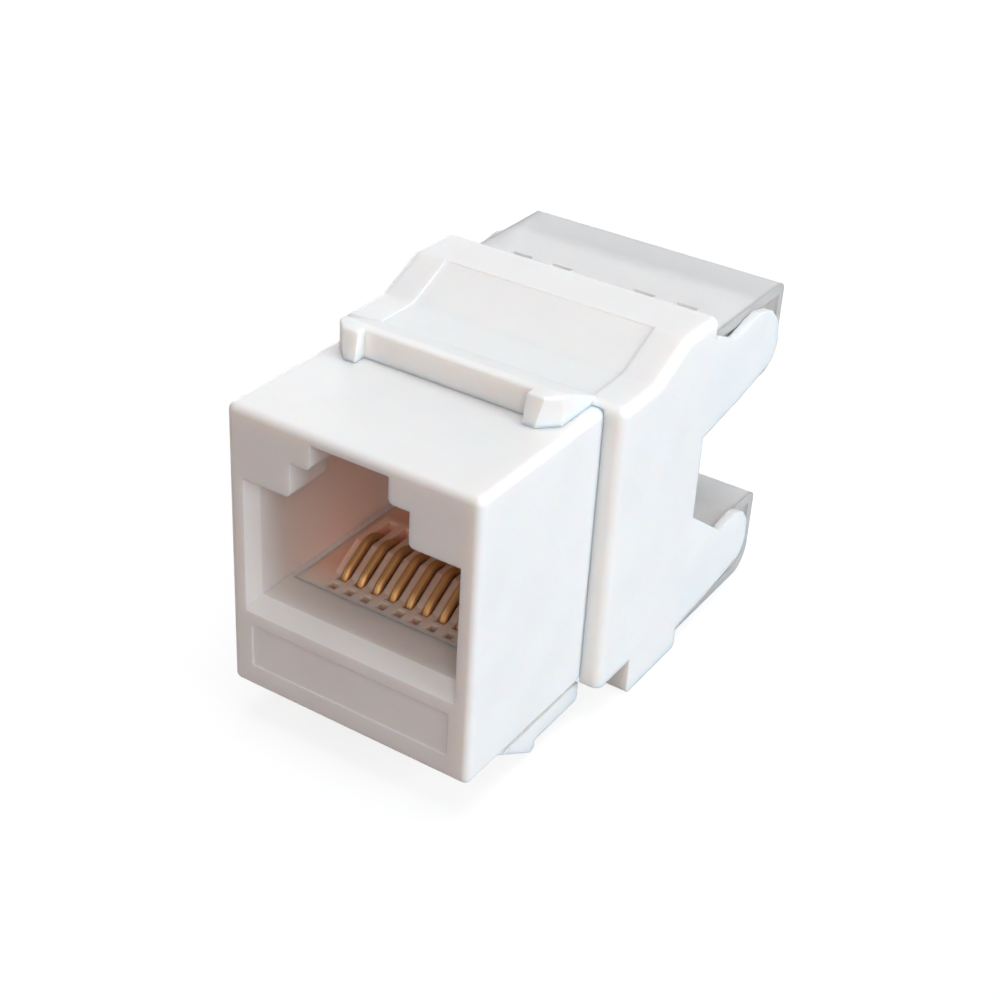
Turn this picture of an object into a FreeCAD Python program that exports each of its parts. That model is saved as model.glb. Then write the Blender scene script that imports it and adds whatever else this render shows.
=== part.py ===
"""Keystone jack: an 8-position modular socket with two rows of insulation-displacement terminals.

Millimetres.  X runs across the jack, +Y runs from the port face to the rear, +Z is up.
While the pieces are drawn, the underside of the nose is z = 0 and the port face is y = 0.
Every piece is then dropped by half the nose height, so that the origin of the finished part
is the centre of the port face.
"""
import FreeCAD, Part
import math
import os

# ---------------------------------------------------------------- driving sizes
# nose: the front block that passes through the panel opening
nose_width = 14.6
nose_height = 16.3
nose_edge_radius = 0.4

# plug port
port_width = 11.9
port_floor_z = 5.4
port_top_z = 12.4
key_width = 6.9            # first step above the main window
key_top_z = 14.3
tab_width = 4.5            # second step, for the plug's latch tab
tab_top_z = 15.7
port_corner_radius = 0.3   # tips of the steps
port_sill_drop = 0.75      # the mouth opens downwards and sideways by a bevel
port_side_flare = 0.4
port_bevel_depth = 0.8
port_web_depth = 2.8       # depth of the stepped front web
port_depth = 13.0
tab_room_depth = 9.0       # behind this the ceiling comes down to the key step
bare_panel_inset = 1.3     # shallow plain recess below the port, in from the sides of the nose
bare_panel_height = 2.5
bare_panel_z = 1.4
bare_panel_depth = 0.08

# contact carrier and spring contacts
carrier_width = 11.2
carrier_height = 2.4
carrier_front_y = 3.0
comb_top_z = 6.5           # comb that stands between the contacts
comb_rear_y = 9.1
comb_side_wall = 0.4       # comb left outside the outermost slots
contact_count = 8
contact_pitch = 1.02
contact_diameter = 0.46
contact_sides = 10         # flats that stand for the round wire
contact_proud = 0.12       # middle of a rising contact above the comb
contact_slot_width = 0.6
contact_slot_gap = 0.08    # front end of a slot to the bend
contact_tail_z = 3.9
contact_front_y = 4.45     # foremost reach of the bend
contact_bend_radius = 1.0
contact_rise_angle = 31.0
contact_knee_y = 6.75
contact_fall_angle = 37.5
contact_end_y = 8.3
contact_tail_reach = 0.14  # tail end past the rear of the board
pocket_gap = 0.3           # front of the carrier to the blind pockets before the contacts
pocket_length = 0.55
pocket_width = 0.5
pocket_depth = 0.7

# latch arm under the nose
latch_width = 14.2
latch_root_y = 2.9
latch_root_length = 0.7
latch_gap = 0.3
latch_catch_y = 6.6
latch_catch_depth = 0.8
latch_tail_y = 10.8
latch_tail_thickness = 1.15
latch_tip_radius = 0.3

# circuit board
board_thickness = 1.6
board_side_gap = 0.15      # side of the board to the housing around it
board_bottom_z = -1.0
board_top_z = 16.0
board_gap = 0.05           # nose or terminal shoulder to board
board_rear_gap = 0.2       # board to the rear of its room
board_hole_fit = 0.1
solder_room_margin = 1.1   # side of the nose to the hollow for the solder tails

# rear housing
shoulder_width = 1.2       # side of the nose to the side of the rear housing
housing_front_y = 10.5
housing_rear_y = 19.7
housing_edge_radius = 0.5
top_step = 0.3             # top of the nose to the flat top of the rear housing
ramp_front_y = 13.9
ramp_rear_y = 16.9
ramp_bend_radius = 1.0
ramp_rise = 1.4
plateau_rear_y = 20.1
plateau_lip_drop = 1.0
foot_front_y = 13.8
foot_rear_y = 19.2
foot_height = 2.28
foot_floor = 1.0
board_room_rear_y = 17.0
foot_edge_radius = 0.3
housing_fit = 0.02         # nose to rear housing, all round
spigot_drop = 0.5          # the top of the nose steps down inside the rear housing
spigot_gap = 0.1           # front of the rear housing to that step
ramp_panel_width = 12.7    # shallow plain recess behind the lug and up the ramp
ramp_panel_depth = 0.08

# fixed lug on top of the nose: a wedge with a rib at each end of its front face
lug_width = 13.1
lug_front_y = 7.7
lug_height = 1.6
lug_crest_y = 8.2
lug_rear_y = 11.2
lug_edge_radius = 0.15
lug_rib_reach = 0.8        # ribs stand this far in front of the face
lug_rib_lean = 0.3         # ribs lean back this far at the top
lug_rib_inset = 0.95       # outer side of a rib to the side of the lug
lug_rib_width = 0.7

# terminal rows
row_center_z = (0.5, 14.0)
post_count = 6
post_row_inset = 2.0       # side of the housing to the middle of the first post
post_width = 1.5
post_tip_y = 26.7
post_tip_slope = 0.45
post_head_y = 24.3         # posts are full height behind this, lower before it
post_waist_drop = 0.5
terminal_width = 2.0
terminal_thickness = 0.5
terminal_tip_y = 25.3
terminal_tail_width = 0.7
terminal_tail_reach = 0.5  # solder tail past the front of the board
terminal_slot_width = 0.34
terminal_slot_length = 3.6
terminal_mouth_width = 1.0
terminal_mouth_depth = 0.6
terminal_fit = 0.03

# terminal caps
cap_height = 5.2
cap_wall = 0.6
cap_front_y = 20.3
cap_rear_y = 29.2
cap_top_radius = 0.55
cap_bottom_radius = 1.5
cap_fit = 0.07             # cap to posts and to end walls
end_wall_thickness = 0.5
# end wall outlines: reach behind the housing, height above the middle of the row, corner radius
upper_end_wall = ((0.45, 2.85, 0), (2.65, 1.85, 0.5), (5.4, 2.35, 0.8), (6.9, 1.95, 0.8), (8.0, 0.9, 0.8),
                  (8.35, -0.45, 0.8), (7.8, -1.5, 0.7), (4.1, -2.3, 0), (0, -2.9, 0))
lower_end_wall = ((0, 5.6, 0), (3.9, 2.75, 0.6), (5.9, 3.0, 0.8), (6.95, 2.55, 0.8), (7.65, 1.6, 0.7),
                  (7.75, 0.3, 0.8), (7.2, -0.6, 0.6), (2.8, -1.2, 0), (0, -1.4, 0))
wire_notch_width = 1.3
wire_notch_length = 2.6
presser_width = 0.8
presser_height = 0.9
presser_gap = 0.35         # presser tip to terminal tip

# ---------------------------------------------------------------- derived places
housing_width = nose_width + 2 * shoulder_width
half_housing = housing_width / 2
half_port = port_width / 2
half_lug = lug_width / 2
board_width = nose_width + 2 * housing_fit - 2 * board_side_gap
post_pitch = (housing_width - 2 * post_row_inset) / (post_count - 1)
carrier_bottom_z = port_floor_z - carrier_height
contact_rise = math.radians(contact_rise_angle)
contact_bend_y = contact_front_y + contact_bend_radius * (1 - 1 / math.tan(contact_rise / 2))
contact_knee_z = contact_tail_z + (contact_knee_y - contact_bend_y) * math.tan(contact_rise)
contact_end_z = contact_knee_z - (contact_end_y - contact_knee_y) * math.tan(math.radians(contact_fall_angle))
board_front_y = board_room_rear_y - board_rear_gap - board_thickness
board_rear_y = board_front_y + board_thickness
nose_rear_y = board_front_y - board_gap
side_top_z = nose_height + top_step
plateau_z = side_top_z + ramp_rise
plateau_lip_z = plateau_z - plateau_lip_drop
lug_top_z = nose_height + lug_height
spigot_front_y = housing_front_y + spigot_gap
spigot_top_z = nose_height - spigot_drop
ramp_panel_z = side_top_z - ramp_panel_depth
half_post_height = cap_height / 2 - cap_wall - cap_fit
cut = 1.0                  # how far a cutting solid runs past the face it opens
PLACE = FreeCAD.Vector(0, 0, -nose_height / 2)

contact_x = [(i - (contact_count - 1) / 2) * contact_pitch for i in range(contact_count)]
post_x = [(i - (post_count - 1) / 2) * post_pitch for i in range(post_count)]
middle_gap = post_count // 2 - 1   # stays free, with a terminal in every other gap between posts
terminal_x = [x + post_pitch / 2 for i, x in enumerate(post_x[:-1]) if i != middle_gap]


# ---------------------------------------------------------------- helpers
def box(x0, x1, y0, y1, z0, z1):
    return Part.makeBox(x1 - x0, y1 - y0, z1 - z0, FreeCAD.Vector(x0, y0, z0))


def centred_box(width, y0, y1, z0, z1, x=0.0):
    return box(x - width / 2, x + width / 2, y0, y1, z0, z1)


def rounded_edges(points, closed):
    """Straight edges joined by tangent arcs.  Each point is (vector, corner radius)."""
    count = len(points)
    starts = []
    ends = []
    edges = []
    for i, (corner, radius) in enumerate(points):
        inner = closed or 0 < i < count - 1
        if not inner or radius == 0:
            starts.append(corner)
            ends.append(corner)
            continue
        back = (points[i - 1][0] - corner).normalize()
        ahead = (points[(i + 1) % count][0] - corner).normalize()
        half_angle = back.getAngle(ahead) / 2
        reach = radius / math.tan(half_angle)
        middle = (back + ahead).normalize() * (radius / math.sin(half_angle) - radius)
        starts.append(corner + back * reach)
        ends.append(corner + ahead * reach)
        edges.append((i, Part.Arc(starts[i], corner + middle, ends[i]).toShape()))
    arcs = dict(edges)
    path = []
    for i in range(count):
        if i in arcs:
            path.append(arcs[i])
        if closed or i < count - 1:
            path.append(Part.LineSegment(ends[i], starts[(i + 1) % count]).toShape())
    return path


def side_plate(outline, x0, x1):
    """Solid between x0 and x1 whose side outline is a list of (y, z) or (y, z, radius)."""
    points = [(FreeCAD.Vector(x0, p[0], p[1]), p[2] if len(p) > 2 else 0) for p in outline]
    wire = Part.Wire(rounded_edges(points, True))
    return Part.Face(wire).extrude(FreeCAD.Vector(x1 - x0, 0, 0))


def fuse(shapes):
    first, *rest = shapes
    return first.fuse(rest).removeSplitter() if rest else first


def edges_where(shape, test):
    return [edge for edge in shape.Edges if test(edge.BoundBox)]


def save(name, shape):
    solid = shape.copy()
    solid.translate(PLACE)
    if len(solid.Solids) == 1:
        solid = solid.Solids[0]
    solid.exportStep("parts/" + name + ".step")
    bounds = solid.BoundBox
    print("%-16s solids %d valid %s volume %8.2f  x %6.2f..%6.2f  y %6.2f..%6.2f  z %6.2f..%6.2f" % (
        name, len(solid.Solids), solid.isValid(), solid.Volume,
        bounds.XMin, bounds.XMax, bounds.YMin, bounds.YMax, bounds.ZMin, bounds.ZMax))


# ---------------------------------------------------------------- front housing
def port_window(y0, y1):
    """Stepped window of the port, with rounded tips where the steps reach into it."""
    tips = [(half_port, port_floor_z, 0), (half_port, port_top_z, 0),
            (key_width / 2, port_top_z, port_corner_radius), (key_width / 2, key_top_z, 0),
            (tab_width / 2, key_top_z, port_corner_radius), (tab_width / 2, tab_top_z, 0)]
    outline = tips + [(-x, z, radius) for x, z, radius in reversed(tips)]
    points = [(FreeCAD.Vector(x, y0, z), radius) for x, z, radius in outline]
    face = Part.Face(Part.Wire(rounded_edges(points, True)))
    return face.extrude(FreeCAD.Vector(0, y1 - y0, 0))


def port_cavity():
    web = port_window(-cut, port_web_depth + cut)
    wide = half_port + 2 * port_side_flare
    mouth = Part.makeWedge(-wide, -port_bevel_depth, port_floor_z - 2 * port_sill_drop, port_floor_z,
                           -half_port, wide, port_bevel_depth, port_top_z, port_top_z, half_port)
    tab_room = centred_box(port_width, port_web_depth, tab_room_depth, port_floor_z, tab_top_z)
    room = centred_box(port_width, port_web_depth, port_depth, port_floor_z, key_top_z)
    return fuse([web, mouth, tab_room, room])


def latch_arm():
    """Arm moulded to the underside of the nose: root, ramp, catch face and release tail."""
    tail_z = -latch_gap - latch_tail_thickness
    outline = [
        (latch_root_y, cut / 2),
        (latch_root_y, 0),
        (latch_catch_y, tail_z - latch_catch_depth, latch_tip_radius),
        (latch_catch_y, tail_z),
        (latch_tail_y, tail_z, latch_tip_radius),
        (latch_tail_y, -latch_gap),
        (latch_root_y + latch_root_length, -latch_gap),
        (latch_root_y + latch_root_length, cut / 2)]
    return side_plate(outline, -latch_width / 2, latch_width / 2)


def front_housing():
    nose = centred_box(nose_width, 0, nose_rear_y, 0, nose_height)
    front_and_long_edges = edges_where(nose, lambda b: b.YMin < nose_rear_y / 2)
    nose = nose.makeFillet(nose_edge_radius, front_and_long_edges)
    solder_room = nose_rear_y - terminal_tail_reach - 2 * board_gap
    tools = [
        port_cavity(),
        centred_box(carrier_width + 2 * housing_fit, carrier_front_y - housing_fit, nose_rear_y + cut,
                    carrier_bottom_z - housing_fit, port_floor_z),
        centred_box(nose_width - 2 * bare_panel_inset, -cut, bare_panel_depth,
                    bare_panel_z, bare_panel_z + bare_panel_height),
        centred_box(nose_width + cut, spigot_front_y, nose_rear_y + cut, spigot_top_z, nose_height + cut)]
    for z in row_center_z:
        tools.append(centred_box(nose_width - 2 * solder_room_margin, solder_room, nose_rear_y + cut,
                                 z - terminal_width / 2, z + terminal_width / 2))
    return fuse([nose.cut(tools), latch_arm()])


# ---------------------------------------------------------------- contacts and carrier
def wire_section(x, y, radius):
    """Outline of a wire that runs along Y through (x, y) at the height of the contact tails."""
    corners = []
    for i in range(contact_sides):
        turn = 2 * math.pi * i / contact_sides
        height = contact_tail_z + radius * math.sin(turn)
        corners.append(FreeCAD.Vector(x + radius * math.cos(turn), y, height))
    return Part.makePolygon(corners + corners[:1])


def contact(x):
    points = [
        (FreeCAD.Vector(x, board_rear_y + contact_tail_reach, contact_tail_z), 0),
        (FreeCAD.Vector(x, contact_bend_y, contact_tail_z), contact_bend_radius),
        (FreeCAD.Vector(x, contact_knee_y, contact_knee_z), contact_bend_radius),
        (FreeCAD.Vector(x, contact_end_y, contact_end_z), 0)]
    spine = Part.Wire(rounded_edges(points, False))
    return spine.makePipeShell([wire_section(x, points[0][0].y, contact_diameter / 2)], True, False)


def contact_bore(x, y0, y1, fit):
    section = wire_section(x, y0, contact_diameter / 2 + fit)
    return Part.Face(section).extrude(FreeCAD.Vector(0, y1 - y0, 0))


def contact_carrier():
    """Block under the port floor, with a comb that rises between the contacts."""
    rear_y = nose_rear_y - housing_fit
    half_slot = contact_slot_width / 2
    body = centred_box(carrier_width, carrier_front_y, rear_y, carrier_bottom_z, port_floor_z)
    rise = math.tan(contact_rise)
    foot_y = contact_bend_y + (port_floor_z + contact_proud - contact_tail_z) / rise
    top_y = contact_bend_y + (comb_top_z + contact_proud - contact_tail_z) / rise
    half_comb = contact_x[-1] + half_slot + comb_side_wall
    comb = side_plate([(foot_y, port_floor_z), (top_y, comb_top_z), (comb_rear_y, comb_top_z),
                       (comb_rear_y, port_floor_z)], -half_comb, half_comb)
    slot_front_y = contact_front_y - contact_diameter / 2 - contact_slot_gap
    slot_rear_y = contact_front_y + 2 * contact_bend_radius
    pocket_y = carrier_front_y + pocket_gap
    tools = []
    for x in contact_x:
        tools.append(centred_box(contact_slot_width, slot_front_y, slot_rear_y,
                                 contact_tail_z - half_slot, comb_top_z + cut, x))
        tools.append(centred_box(contact_slot_width, slot_rear_y - cut, contact_end_y + contact_diameter,
                                 port_floor_z - contact_slot_width, comb_top_z + cut, x))
        tools.append(contact_bore(x, contact_front_y + contact_bend_radius, rear_y + cut, terminal_fit))
        tools.append(centred_box(pocket_width, pocket_y, pocket_y + pocket_length,
                                 port_floor_z - pocket_depth, port_floor_z + cut, x))
    return fuse([body, comb]).cut(tools)


# ---------------------------------------------------------------- board and terminals
def circuit_board():
    board = centred_box(board_width, board_front_y, board_rear_y, board_bottom_z, board_top_z)
    tail_hole = math.hypot(terminal_tail_width, terminal_thickness) / 2 + board_hole_fit
    y0 = board_front_y - cut
    y1 = board_rear_y + cut
    tools = [contact_bore(x, y0, y1, board_hole_fit) for x in contact_x]
    for z in row_center_z:
        for x in terminal_x:
            hole = contact_bore(x, y0, y1, tail_hole - contact_diameter / 2)
            hole.translate(FreeCAD.Vector(0, 0, z - contact_tail_z))
            tools.append(hole)
    return board.cut(tools)


def terminal(x, z):
    """Flat fork: solder tail to the front, slotted blade to the rear."""
    shoulder_y = board_rear_y + board_gap
    half = terminal_width / 2
    half_tail = terminal_tail_width / 2
    half_slot = terminal_slot_width / 2
    half_mouth = terminal_mouth_width / 2
    slot_y = terminal_tip_y - terminal_slot_length
    right = [(half_tail, board_front_y - terminal_tail_reach), (half_tail, shoulder_y), (half, shoulder_y),
             (half, terminal_tip_y), (half_mouth, terminal_tip_y),
             (half_slot, terminal_tip_y - terminal_mouth_depth), (half_slot, slot_y)]
    outline = right + [(-u, v) for u, v in reversed(right)]
    corners = [FreeCAD.Vector(x + u, v, z - terminal_thickness / 2) for u, v in outline]
    face = Part.Face(Part.makePolygon(corners + corners[:1]))
    return face.extrude(FreeCAD.Vector(0, 0, terminal_thickness))


# ---------------------------------------------------------------- rear housing
def housing_body():
    outline = [
        (housing_front_y, 0),
        (housing_front_y, side_top_z),
        (ramp_front_y, side_top_z, ramp_bend_radius),
        (ramp_rear_y, plateau_z, ramp_bend_radius),
        (plateau_rear_y, plateau_z, foot_edge_radius),
        (plateau_rear_y, plateau_lip_z),
        (housing_rear_y, plateau_lip_z),
        (housing_rear_y, -foot_floor),
        (foot_rear_y, -foot_floor),
        (foot_rear_y, -foot_height, foot_edge_radius),
        (foot_front_y, -foot_height, foot_edge_radius),
        (foot_front_y, 0)]
    shell = side_plate(outline, -half_housing, half_housing)
    front_edges = edges_where(shell, lambda b: b.YMax < housing_front_y + housing_fit
                              and (b.ZLength > side_top_z / 2 or b.ZMin > side_top_z - housing_fit))
    top_edges = edges_where(shell, lambda b: b.XLength < housing_fit and b.ZMin > side_top_z - housing_fit
                            and b.YMin > housing_front_y - housing_fit and b.YMax < plateau_rear_y)
    return shell.makeFillet(housing_edge_radius, front_edges + top_edges)


def ramp_panel():
    """Shallow recess that follows the top from the rear of the lug to the top of the ramp."""
    slope = (lug_rear_y - lug_crest_y) / (lug_top_z - ramp_panel_z)
    meets_y = lug_crest_y + (lug_top_z - side_top_z) * slope
    outline = [
        (meets_y, ramp_panel_z),
        (ramp_front_y, ramp_panel_z, ramp_bend_radius),
        (ramp_rear_y, plateau_z - ramp_panel_depth),
        (ramp_rear_y, plateau_z + cut),
        (meets_y, plateau_z + cut)]
    return side_plate(outline, -ramp_panel_width / 2, ramp_panel_width / 2)


def fixed_lug():
    """Wedge with its steep face forwards and a rib at each end of that face."""
    under_z = nose_height + housing_fit
    foot_y = lug_front_y - lug_rib_reach
    rib_outer_x = half_lug - lug_rib_inset
    right = [(half_lug, lug_rear_y), (half_lug, foot_y + lug_rib_inset), (rib_outer_x, foot_y),
             (rib_outer_x - lug_rib_width, foot_y), (rib_outer_x - lug_rib_width, lug_front_y)]
    plan = right + [(-x, y) for x, y in reversed(right)]
    corners = [FreeCAD.Vector(x, y, under_z) for x, y in plan]
    face = Part.Face(Part.makePolygon(corners + corners[:1]))
    block = face.extrude(FreeCAD.Vector(0, 0, lug_top_z - under_z))
    profile = [(foot_y, under_z), (foot_y + lug_rib_lean, lug_top_z), (lug_crest_y, lug_top_z),
               (lug_rear_y, ramp_panel_z), (lug_rear_y, under_z)]
    lug = block.common(side_plate(profile, -half_lug - cut, half_lug + cut))
    crest = edges_where(lug, lambda b: b.ZMin > lug_top_z - housing_fit and b.YMax < lug_crest_y)
    return lug.makeFillet(lug_edge_radius, crest)


def end_wall(outline, z):
    """Thin wall that closes one end of a terminal row; z is the middle of the row."""
    inner = [(housing_rear_y - cut, z + outline[-1][1], 0), (housing_rear_y - cut, z + outline[0][1], 0)]
    return inner + [(housing_rear_y + reach, z + height, radius) for reach, height, radius in outline]


def row_posts(z):
    """Six posts that stand up from the rear face, waisted in front of their heads."""
    half_waist = half_post_height - post_waist_drop
    posts = []
    for x in post_x:
        head = centred_box(post_width, post_head_y, post_tip_y, z - half_post_height, z + half_post_height, x)
        tips = edges_where(head, lambda b: b.YMin > post_head_y and b.ZLength > half_post_height)
        waist = centred_box(post_width, housing_rear_y - cut, post_head_y, z - half_waist, z + half_waist, x)
        posts += [head.makeChamfer(post_tip_slope, tips), waist]
    return posts


def rear_housing():
    plates = []
    for outline, z in zip((lower_end_wall, upper_end_wall), row_center_z):
        wall = end_wall(outline, z)
        plates.append(side_plate(wall, half_housing - end_wall_thickness, half_housing))
        plates.append(side_plate(wall, -half_housing, end_wall_thickness - half_housing))
    posts = [post for z in row_center_z for post in row_posts(z)]
    housing = fuse([housing_body().cut(ramp_panel()), fixed_lug()] + plates + posts)

    room_width = nose_width + 2 * housing_fit
    spigot_room_z = spigot_top_z + housing_fit
    nose_room = centred_box(room_width, housing_front_y - cut, nose_rear_y,
                            -foot_height - cut, spigot_room_z)
    foot = centred_box(room_width + cut, foot_front_y, nose_rear_y + cut,
                       -foot_height - 2 * cut, -housing_fit)
    tools = [
        nose_room.cut(foot),
        centred_box(room_width, housing_front_y - cut, spigot_front_y + housing_fit,
                    spigot_room_z - cut, nose_height + housing_fit),
        centred_box(room_width, nose_rear_y, board_room_rear_y,
                    -foot_height + foot_floor, board_top_z + board_side_gap)]
    for z in row_center_z:
        for x in terminal_x:
            tools.append(centred_box(terminal_width + 2 * terminal_fit, board_room_rear_y - cut,
                                     terminal_tip_y + terminal_fit, z - terminal_thickness / 2 - terminal_fit,
                                     z + terminal_thickness / 2 + terminal_fit, x))
    return housing.cut(tools)


# ---------------------------------------------------------------- caps
def cap(z):
    """Channel that slides over one row of posts from the rear."""
    low = z - cap_height / 2
    high = z + cap_height / 2
    inner_rear_y = cap_rear_y - cap_wall
    half_width = half_housing - end_wall_thickness - cap_fit
    outline = [
        (cap_front_y, low),
        (cap_rear_y, low, cap_bottom_radius),
        (cap_rear_y, high, cap_top_radius),
        (cap_front_y, high),
        (cap_front_y, high - cap_wall),
        (inner_rear_y, high - cap_wall),
        (inner_rear_y, low + cap_wall, cap_bottom_radius - cap_wall),
        (cap_front_y, low + cap_wall)]
    channel = side_plate(outline, -half_width, half_width)
    pressers = []
    notches = []
    for x in terminal_x:
        for side in (-1, 1):
            centre = z + side * (terminal_thickness / 2 + presser_height)
            pressers.append(centred_box(presser_width, terminal_tip_y + presser_gap - presser_height,
                                        inner_rear_y + cap_wall / 2, centre - presser_height / 2,
                                        centre + presser_height / 2, x))
        notches.append(centred_box(wire_notch_width, cap_front_y - cut, cap_front_y + wire_notch_length,
                                   low - cut, high + cut, x))
    return fuse([channel] + pressers).cut(notches)


# ---------------------------------------------------------------- the part
os.makedirs("parts", exist_ok=True)
save("front_housing", front_housing())
save("rear_housing", rear_housing())
save("contact_carrier", contact_carrier())
save("circuit_board", circuit_board())
for number, x in enumerate(contact_x, 1):
    save("contact_%d" % number, contact(x))
places = [(x, z) for z in reversed(row_center_z) for x in terminal_x]
for number, (x, z) in enumerate(places, 1):
    save("terminal_%d" % number, terminal(x, z))
save("lower_cap", cap(row_center_z[0]))
save("upper_cap", cap(row_center_z[1]))
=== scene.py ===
"""Looks of the keystone jack: camera, soft studio light, floor, and a finish for every piece.

Metres.  X runs across the jack, +Y runs from the port face to the rear, +Z is up.
"""
import bpy
import math
from mathutils import Matrix, Vector


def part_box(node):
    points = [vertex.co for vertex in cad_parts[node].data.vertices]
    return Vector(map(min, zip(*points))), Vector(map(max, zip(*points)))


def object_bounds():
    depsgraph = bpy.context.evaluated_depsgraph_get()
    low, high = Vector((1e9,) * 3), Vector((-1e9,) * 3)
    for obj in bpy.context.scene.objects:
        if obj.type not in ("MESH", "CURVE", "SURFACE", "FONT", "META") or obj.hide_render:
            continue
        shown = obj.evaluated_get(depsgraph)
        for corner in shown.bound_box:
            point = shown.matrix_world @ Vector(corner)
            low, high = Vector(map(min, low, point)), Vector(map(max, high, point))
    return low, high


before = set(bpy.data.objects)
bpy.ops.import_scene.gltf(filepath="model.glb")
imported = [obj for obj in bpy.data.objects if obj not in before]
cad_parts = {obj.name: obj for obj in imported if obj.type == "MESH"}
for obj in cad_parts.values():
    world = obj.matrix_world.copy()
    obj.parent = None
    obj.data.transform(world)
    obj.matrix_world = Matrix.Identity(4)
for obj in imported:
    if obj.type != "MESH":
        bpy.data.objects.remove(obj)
cad_low, cad_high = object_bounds()
MM = 0.001
MM_PER_METRE = 1000.0
CAP_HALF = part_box("upper_cap")[1][0] / MM

# ---------------------------------------------------------------- sizes and places
CAMERA_PLACE = Vector((42.29, -55.99, 49.00)) * MM
CAMERA_TARGET = Vector((1.318, 11.267, 0.458)) * MM
CAMERA_ROLL = math.radians(3.469)
CAMERA_LENS = 64.2          # millimetres
CAMERA_SENSOR = 36.0        # millimetres, square
CAMERA_NEAR = 0.005
CAMERA_FAR = 10.0

# Millimetres, in the frame of the part.
HOUSING_EDGE = 0.035        # softness of moulded edges
POST_PITCH = 2.6            # terminal posts under the caps
POST_HALF = 0.75
POST_TIP = 26.7
PORT_HALF = 5.95            # half the width of the port
PORT_CEILING = 7.55
PORT_FLOOR = -2.75
PORT_FADE = (0.3, 0.1)      # past the port's walls: where its painted shade starts, and is full
SILL_FADE = (-1.0, -0.4)    # the same, from the level of the port's floor
POCKET_FADE = (-0.03, -0.3)     # the same, down into the pockets before the contacts
PORT_SHADE_SPAN = (1.0, 7.0)      # behind the port face, where the painted warm shade in the port ramps in
COMB_SHADE_SPAN = (2.4, 5.2)      # the same for the comb

# Colours.
HOUSING_TONE = (0.84, 0.815, 0.79)
HOUSING_SHADE = (0.82, 0.795, 0.77)
CARRIER_TONE = (0.95, 0.88, 0.80)
CARRIER_SHADE = (0.93, 0.85, 0.77)
# Painted shade: a warm, darker tone inside the port, standing in for shade and warm bounced light there.
PORT_PAINTED_SHADE = (0.90, 0.74, 0.66)
# Painted shade on the carrier's comb, deep inside the port.
COMB_PAINTED_SHADE = (0.86, 0.48, 0.36)
# Painted shade in the pockets before the contacts, below the port's floor.
POCKET_PAINTED_SHADE = (0.74, 0.52, 0.42)
# Painted light and shade on the milky caps: lighter over the posts under them, darker between them,
# behind them and on the end faces.
CAP_PAINTED_POST_LIGHT = (0.95, 0.94, 0.93)
CAP_PAINTED_GAP_SHADE = (0.88, 0.87, 0.86)
CAP_PAINTED_HOLLOW_SHADE = (0.81, 0.80, 0.79)
CAP_PAINTED_END_SHADE = (0.58, 0.57, 0.56)
GOLD_TONE = (0.56, 0.33, 0.14)
GOLD_SHADE = (0.48, 0.26, 0.10)
TIN_TONE = (0.62, 0.60, 0.57)
TIN_SHEEN = (0.74, 0.72, 0.69)
MASK_TONE = (0.03, 0.16, 0.07)
MASK_SHEEN = (0.05, 0.22, 0.10)
WHITE = (1.0, 1.0, 1.0)

# Stage and light.
FLOOR_HALF = 1.5
FLOOR_TONE = (0.30, 0.22, 0.20)
FLOOR_SEEN_TONE = (0.26, 0.26, 0.26)
FLOOR_SEEN_GLOW = 0.8
LAMP_DISTANCE = 0.45
LAMP_UNIT = 2.0             # watts that light a white card facing the lamp to full white
LAMPS = (                   # name, direction, side, strength, tone
    ("lens_panel", Vector((0.45, -0.75, 0.48)), 0.30, 0.42, (1.0, 0.93, 0.91)),
    ("top_panel", Vector((0.0, 0.05, 1.0)), 0.30, 0.49, (0.93, 0.95, 1.0)),
    ("rear_panel", Vector((0.30, 0.45, 0.84)), 0.26, 0.15, (0.97, 0.99, 1.0)),
    ("side_panel", Vector((0.95, 0.02, 0.28)), 0.24, 0.87, (0.73, 0.885, 1.0)),
    ("far_panel", Vector((-0.80, 0.58, 0.14)), 0.26, 0.34, (0.96, 0.98, 1.0)))
SKY_TONE = (0.98, 1.0, 1.0)
SKY_STRENGTH = 0.08


# ---------------------------------------------------------------- shader maths
class Wire:
    """A socket of a material's node tree.  Python arithmetic on it adds Math nodes."""

    def __init__(self, tree, socket):
        self.tree = tree
        self.socket = socket

    def math(self, operation, *values):
        node = self.tree.nodes.new("ShaderNodeMath")
        node.operation = operation
        for slot, value in zip(node.inputs, values):
            connect(self.tree, slot, value)
        return Wire(self.tree, node.outputs[0])

    def __add__(self, other):
        return self.math("ADD", self, other)

    def __radd__(self, other):
        return self.math("ADD", other, self)

    def __sub__(self, other):
        return self.math("SUBTRACT", self, other)

    def __rsub__(self, other):
        return self.math("SUBTRACT", other, self)

    def __mul__(self, other):
        return self.math("MULTIPLY", self, other)

    def __rmul__(self, other):
        return self.math("MULTIPLY", other, self)

    def __truediv__(self, other):
        return self.math("DIVIDE", self, other)


def connect(tree, slot, value):
    if isinstance(value, Wire):
        tree.links.new(value.socket, slot)
    elif isinstance(value, tuple) and len(slot.default_value) == len(value) + 1:
        slot.default_value = value + (1.0,)
    else:
        slot.default_value = value


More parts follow.
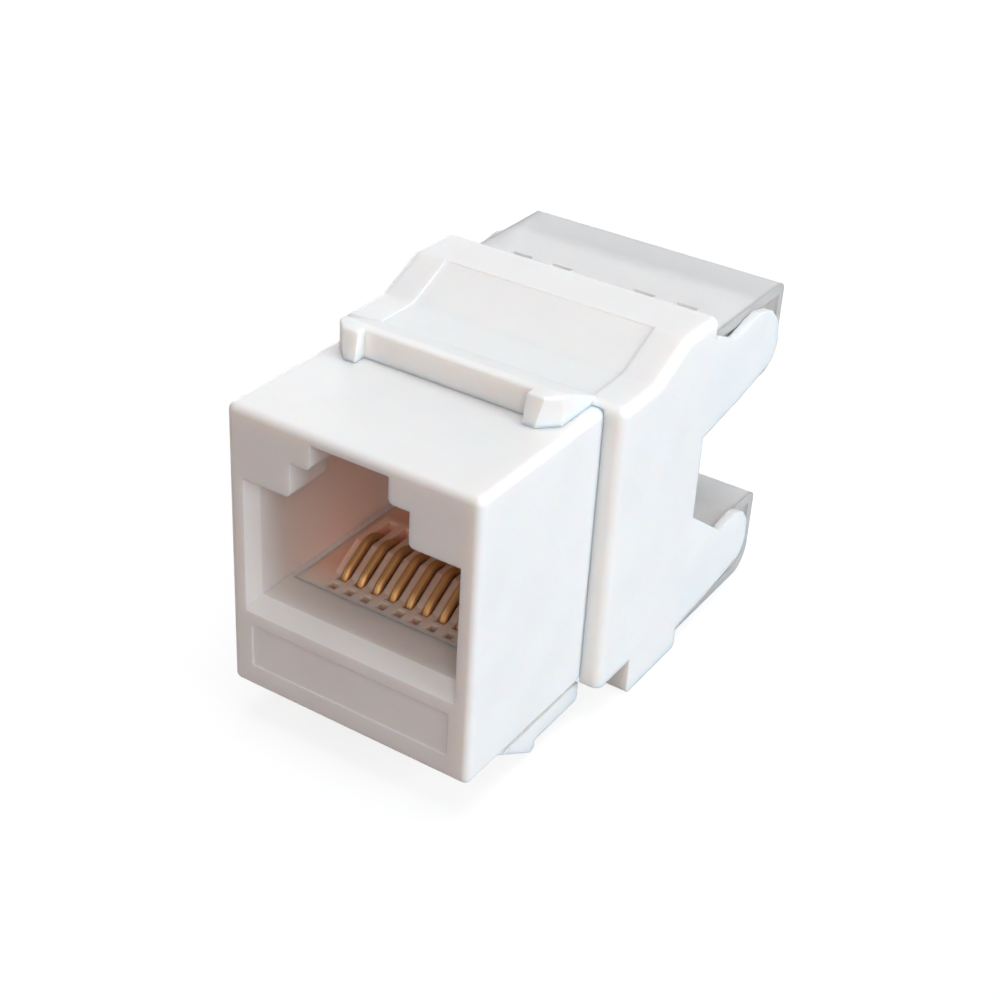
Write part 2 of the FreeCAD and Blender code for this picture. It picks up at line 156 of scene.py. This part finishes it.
class Finish:
    """A material under construction."""

    def __init__(self, name):
        self.material = bpy.data.materials.new(name)
        self.material.use_nodes = True
        self.tree = self.material.node_tree
        self.tree.nodes.clear()

    def node(self, kind, settings=None, inputs=None, output=0):
        """Adds a node: settings are set first, then its sockets get values or links."""
        node = self.tree.nodes.new(kind)
        for key, value in (settings or {}).items():
            setattr(node, key, value)
        for key, value in (inputs or {}).items():
            connect(self.tree, node.inputs[key], value)
        return Wire(self.tree, node.outputs[output]) if node.outputs else node

    def place(self, stretch=(1.0, 1.0, 1.0)):
        """Object coordinates, in millimetres times stretch."""
        where = self.node("ShaderNodeTexCoord", output=3)
        scale = tuple(MM_PER_METRE * s for s in stretch)
        return self.node("ShaderNodeMapping", {"vector_type": "POINT"}, {0: where, 3: scale})

    def noise(self, where, size, detail=2.0, roughness=0.5):
        """Cloudy value around 0.5 whose features are about size millimetres."""
        return self.node("ShaderNodeTexNoise", None,
                         {"Vector": where, "Scale": 1.0 / size, "Detail": detail, "Roughness": roughness})

    def ramp(self, value, low, high, at_low=0.0, at_high=1.0):
        """Value moved from low..high to at_low..at_high, held flat outside."""
        return self.node("ShaderNodeMapRange", {"clamp": True},
                         {"Value": value, "From Min": low, "From Max": high,
                          "To Min": at_low, "To Max": at_high})

    def blend(self, share, tone, other):
        return self.node("ShaderNodeMix", {"data_type": "RGBA"}, {0: share, 6: tone, 7: other}, output=2)

    def axis(self, where, name):
        """One coordinate of a place: X, Y or Z."""
        return self.node("ShaderNodeSeparateXYZ", None, {0: where}, output="XYZ".index(name))

    def bump(self, height, depth, edge=0.0):
        """Normal for a height from 0 to 1 that stands depth millimetres tall, with edges softened."""
        inputs = {"Distance": depth * MM, "Height": height}
        if edge:
            inputs["Normal"] = self.node("ShaderNodeBevel", {"samples": 6}, {"Radius": edge * MM})
        return self.node("ShaderNodeBump", None, inputs)

    def surface(self, **sockets):
        inputs = {key.replace("_", " "): value for key, value in sockets.items()}
        shader = self.node("ShaderNodeBsdfPrincipled", None, inputs)
        self.node("ShaderNodeOutputMaterial", None, {"Surface": shader})
        return self.material


# ---------------------------------------------------------------- finishes
def port_shade_mask(finish, where, start, end):
    """0 beside, above and below the port's outline, and within it 0 to 1 from start to end.

    Start and end are millimetres behind the port face.  This mask places the painted shade of the port;
    past the end it stays 1 up to the rear of the jack, so what lies straight behind the port takes the
    painted shade as well.
    """
    sideways = finish.axis(where, "X")
    across = sideways.math("ABSOLUTE", sideways)
    height = finish.axis(where, "Z")
    between = finish.ramp(across, PORT_HALF + PORT_FADE[0], PORT_HALF + PORT_FADE[1])
    under = finish.ramp(height, PORT_CEILING + PORT_FADE[0], PORT_CEILING + PORT_FADE[1])
    over = finish.ramp(height, PORT_FLOOR + SILL_FADE[0], PORT_FLOOR + SILL_FADE[1])
    return finish.ramp(finish.axis(where, "Y"), start, end) * between * under * over


def moulded_white(name, tone, shade, painted_tone, painted_span, gloss, edge, pocket_shade=None):
    """White moulded plastic: faint clouding, a fine tool-eroded grain and a little flow waviness.

    Inside the port, and straight behind it, it takes a painted shade that stands in for the shade and
    warm bounced light there.  Below the port's floor it takes a painted pocket shade, if it has one.
    """
    cloud_size = 3.5
    grain_size = 0.09
    flow_size = 2.4
    flow_stretch = (1.0, 0.35, 1.0)
    grain_share = 0.5
    flow_share = 4.0
    relief_depth = 0.006
    glow_depth = 1.0
    gloss_spread = (-0.05, 0.08)
    finish = Finish(name)
    where = finish.place()
    cloud = finish.noise(where, cloud_size, detail=3.0)
    grain = finish.noise(where, grain_size, detail=3.0, roughness=0.6)
    flow = finish.noise(finish.place(flow_stretch), flow_size, detail=1.0)
    clean = finish.blend(finish.ramp(cloud, low=0.35, high=0.7), tone, shade)
    # Painted shade: warm, darker tone inside the port and straight behind it.
    colour = finish.blend(port_shade_mask(finish, where, *painted_span), clean, painted_tone)
    # Painted shade in the pockets below the port's floor.
    if pocket_shade:
        height = finish.axis(where, "Z")
        below = finish.ramp(height, PORT_FLOOR + POCKET_FADE[0], PORT_FLOOR + POCKET_FADE[1])
        colour = finish.blend(below, colour, pocket_shade)
    rough = finish.ramp(grain + cloud, low=0.7, high=1.3,
                        at_low=gloss + gloss_spread[0], at_high=gloss + gloss_spread[1])
    relief = finish.bump(grain * grain_share + flow * flow_share, relief_depth, edge)
    return finish.surface(Base_Color=colour, Roughness=rough, Normal=relief,
                          Subsurface_Weight=0.9, Subsurface_Radius=(1.0, 0.7, 0.55),
                          Subsurface_Scale=glow_depth * MM, IOR=1.5, Specular_IOR_Level=0.45)


def frosted_clear(name):
    """Milky clear plastic of the caps, with painted light and shade: painted lighter where the posts lie
    under it, painted darker between them, greyer behind them and darker on the end faces.
    """
    cloud_size = 1.6
    grain_size = 0.12
    relief_depth = 0.002
    post_blur = (-0.15, 0.2)
    tip_blur = (-0.7, 0.3)
    end_blur = (-0.25, -0.05)
    waver = 0.5
    middle = 0.5
    finish = Finish(name)
    where = finish.place()
    sideways = finish.axis(where, "X")
    soft = finish.noise(where, cloud_size)
    grain = finish.noise(where, grain_size)
    nearest = ((sideways + soft * waver) / POST_PITCH).math("FRACT") - middle
    nearest = nearest.math("ABSOLUTE", nearest) * POST_PITCH
    beside = finish.ramp(nearest, POST_HALF + post_blur[0], POST_HALF + post_blur[1])
    rearward = finish.axis(where, "Y") + soft
    behind = finish.ramp(rearward, POST_TIP + tip_blur[0], POST_TIP + tip_blur[1])
    outward = sideways.math("ABSOLUTE", sideways)
    end = finish.ramp(outward, CAP_HALF + end_blur[0], CAP_HALF + end_blur[1])
    # Painted light over the posts, painted shade between them, behind them and on the end faces.
    colour = finish.blend(beside, CAP_PAINTED_POST_LIGHT, CAP_PAINTED_GAP_SHADE)
    colour = finish.blend(behind, colour, CAP_PAINTED_HOLLOW_SHADE)
    colour = finish.blend(end, colour, CAP_PAINTED_END_SHADE)
    rough = finish.ramp(grain, low=0.3, high=0.7, at_low=0.42, at_high=0.5)
    return finish.surface(Base_Color=colour, Roughness=rough, Normal=finish.bump(grain, relief_depth),
                          Transmission_Weight=0.5, IOR=1.25)


def gold_plate(name):
    """Gold plating over nickel on a drawn spring wire, with fine lines along it."""
    line_size = 0.5
    cloud_size = 0.8
    relief_depth = 0.004
    line_stretch = (9.0, 0.6, 0.6)
    finish = Finish(name)
    lines = finish.noise(finish.place(line_stretch), line_size)
    cloud = finish.noise(finish.place(), cloud_size)
    colour = finish.blend(cloud, GOLD_TONE, GOLD_SHADE)
    rough = finish.ramp(lines + cloud, low=0.7, high=1.3, at_low=0.46, at_high=0.58)
    return finish.surface(Base_Color=colour, Roughness=rough, Metallic=0.85,
                          Normal=finish.bump(lines, relief_depth))


def tinned_bronze(name):
    """Tin plating on stamped bronze: brushed lines along the blade."""
    line_size = 0.3
    cloud_size = 1.1
    relief_depth = 0.004
    line_stretch = (6.0, 0.4, 6.0)
    finish = Finish(name)
    lines = finish.noise(finish.place(line_stretch), line_size)
    cloud = finish.noise(finish.place(), cloud_size)
    colour = finish.blend(cloud, TIN_TONE, TIN_SHEEN)
    rough = finish.ramp(lines, low=0.3, high=0.7, at_low=0.28, at_high=0.42)
    return finish.surface(Base_Color=colour, Roughness=rough, Metallic=1.0,
                          Normal=finish.bump(lines, relief_depth))


def board_laminate(name):
    """Green solder mask over a woven glass board."""
    cloud_size = 2.0
    relief_depth = 0.006
    weave_scale = 0.9
    thread_share = 0.5
    finish = Finish(name)
    where = finish.place()
    threads = {"Vector": where, "Scale": weave_scale}
    across = finish.node("ShaderNodeTexWave", {"bands_direction": "X"}, threads)
    upward = finish.node("ShaderNodeTexWave", {"bands_direction": "Z"}, threads)
    cloud = finish.noise(where, cloud_size)
    colour = finish.blend(cloud, MASK_TONE, MASK_SHEEN)
    rough = finish.ramp(cloud, low=0.3, high=0.7, at_low=0.3, at_high=0.42)
    weave = across * thread_share + upward * thread_share
    return finish.surface(Base_Color=colour, Roughness=rough, Normal=finish.bump(weave, relief_depth),
                          Coat_Weight=0.3, Coat_Roughness=0.2)


def dress(node, material):
    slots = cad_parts[node].data.materials
    slots.clear()
    slots.append(material)


housing_white = moulded_white("housing_white", HOUSING_TONE, HOUSING_SHADE, PORT_PAINTED_SHADE, PORT_SHADE_SPAN,
                              gloss=0.42, edge=HOUSING_EDGE)
carrier_white = moulded_white("carrier_white", CARRIER_TONE, CARRIER_SHADE, COMB_PAINTED_SHADE, COMB_SHADE_SPAN,
                              gloss=0.5, edge=0.0, pocket_shade=POCKET_PAINTED_SHADE)
cap_clear = frosted_clear("cap_clear")
contact_gold = gold_plate("contact_gold")
terminal_tin = tinned_bronze("terminal_tin")
board_green = board_laminate("board_green")

dress("front_housing", housing_white)
dress("rear_housing", housing_white)
dress("contact_carrier", carrier_white)
dress("circuit_board", board_green)
dress("upper_cap", cap_clear)
dress("lower_cap", cap_clear)
for number in range(1, 9):
    dress("contact_%d" % number, contact_gold)
    dress("terminal_%d" % number, terminal_tin)


# ---------------------------------------------------------------- stage, light and camera
def pale_stage():
    """Floor under the jack.  It looks white to the lens and keeps the shadow."""
    bpy.ops.object.select_all(action="DESELECT")
    bpy.ops.mesh.primitive_plane_add(size=2 * FLOOR_HALF, location=(0, 0, cad_low.z))
    floor = bpy.context.object
    floor.name = "floor"
    finish = Finish("floor_pale")
    lens = finish.node("ShaderNodeLightPath")
    glossy = Wire(finish.tree, lens.socket.node.outputs["Is Glossy Ray"])
    through = Wire(finish.tree, lens.socket.node.outputs["Is Transmission Ray"])
    seen = lens.math("MAXIMUM", lens, lens.math("MAXIMUM", glossy, through))
    plain = finish.node("ShaderNodeBsdfDiffuse", None, {"Color": FLOOR_TONE})
    soft = finish.node("ShaderNodeBsdfDiffuse", None, {"Color": FLOOR_SEEN_TONE})
    white = finish.node("ShaderNodeEmission", None, {"Color": WHITE, "Strength": FLOOR_SEEN_GLOW})
    bright = finish.node("ShaderNodeAddShader", None, {0: soft, 1: white})
    mixed = finish.node("ShaderNodeMixShader", None, {0: seen, 1: plain, 2: bright})
    finish.node("ShaderNodeOutputMaterial", None, {"Surface": mixed})
    floor.data.materials.append(finish.material)


def sky():
    world = bpy.data.worlds.new("studio")
    bpy.context.scene.world = world
    world.use_nodes = True
    tree = world.node_tree
    tree.nodes.clear()
    path = tree.nodes.new("ShaderNodeLightPath")
    lens = Wire(tree, path.outputs["Is Camera Ray"])
    glossy = Wire(tree, path.outputs["Is Glossy Ray"])
    through = Wire(tree, path.outputs["Is Transmission Ray"])
    seen = lens.math("MAXIMUM", lens, lens.math("MAXIMUM", glossy, through))
    soft = tree.nodes.new("ShaderNodeBackground")
    connect(tree, soft.inputs["Color"], SKY_TONE)
    connect(tree, soft.inputs["Strength"], SKY_STRENGTH)
    white = tree.nodes.new("ShaderNodeBackground")
    connect(tree, white.inputs["Color"], WHITE)
    mixed = tree.nodes.new("ShaderNodeMixShader")
    connect(tree, mixed.inputs[0], seen)
    tree.links.new(soft.outputs[0], mixed.inputs[1])
    tree.links.new(white.outputs[0], mixed.inputs[2])
    out = tree.nodes.new("ShaderNodeOutputWorld")
    tree.links.new(mixed.outputs[0], out.inputs["Surface"])


def panel_light(name, direction, side, strength, tone):
    lamp = bpy.data.lights.new(name, "AREA")
    lamp.shape = "SQUARE"
    lamp.size = side
    lamp.energy = strength * LAMP_UNIT
    lamp.color = tone
    holder = bpy.data.objects.new(name, lamp)
    bpy.context.scene.collection.objects.link(holder)
    holder.location = CAMERA_TARGET + direction.normalized() * LAMP_DISTANCE
    holder.rotation_mode = "QUATERNION"
    holder.rotation_quaternion = (-direction).to_track_quat("-Z", "Y")


def main_camera():
    lens = bpy.data.cameras.new("main_camera")
    lens.lens = CAMERA_LENS
    lens.sensor_width = CAMERA_SENSOR
    lens.clip_start = CAMERA_NEAR
    lens.clip_end = CAMERA_FAR
    holder = bpy.data.objects.new("main_camera", lens)
    bpy.context.scene.collection.objects.link(holder)
    aim = (CAMERA_TARGET - CAMERA_PLACE).to_track_quat("-Z", "Y").to_matrix().to_4x4()
    holder.matrix_world = Matrix.Translation(CAMERA_PLACE) @ aim @ Matrix.Rotation(CAMERA_ROLL, 4, "Z")
    bpy.context.scene.camera = holder


pale_stage()
sky()
for lamp in LAMPS:
    panel_light(*lamp)
main_camera()
bpy.context.scene.view_settings.view_transform = "Standard"
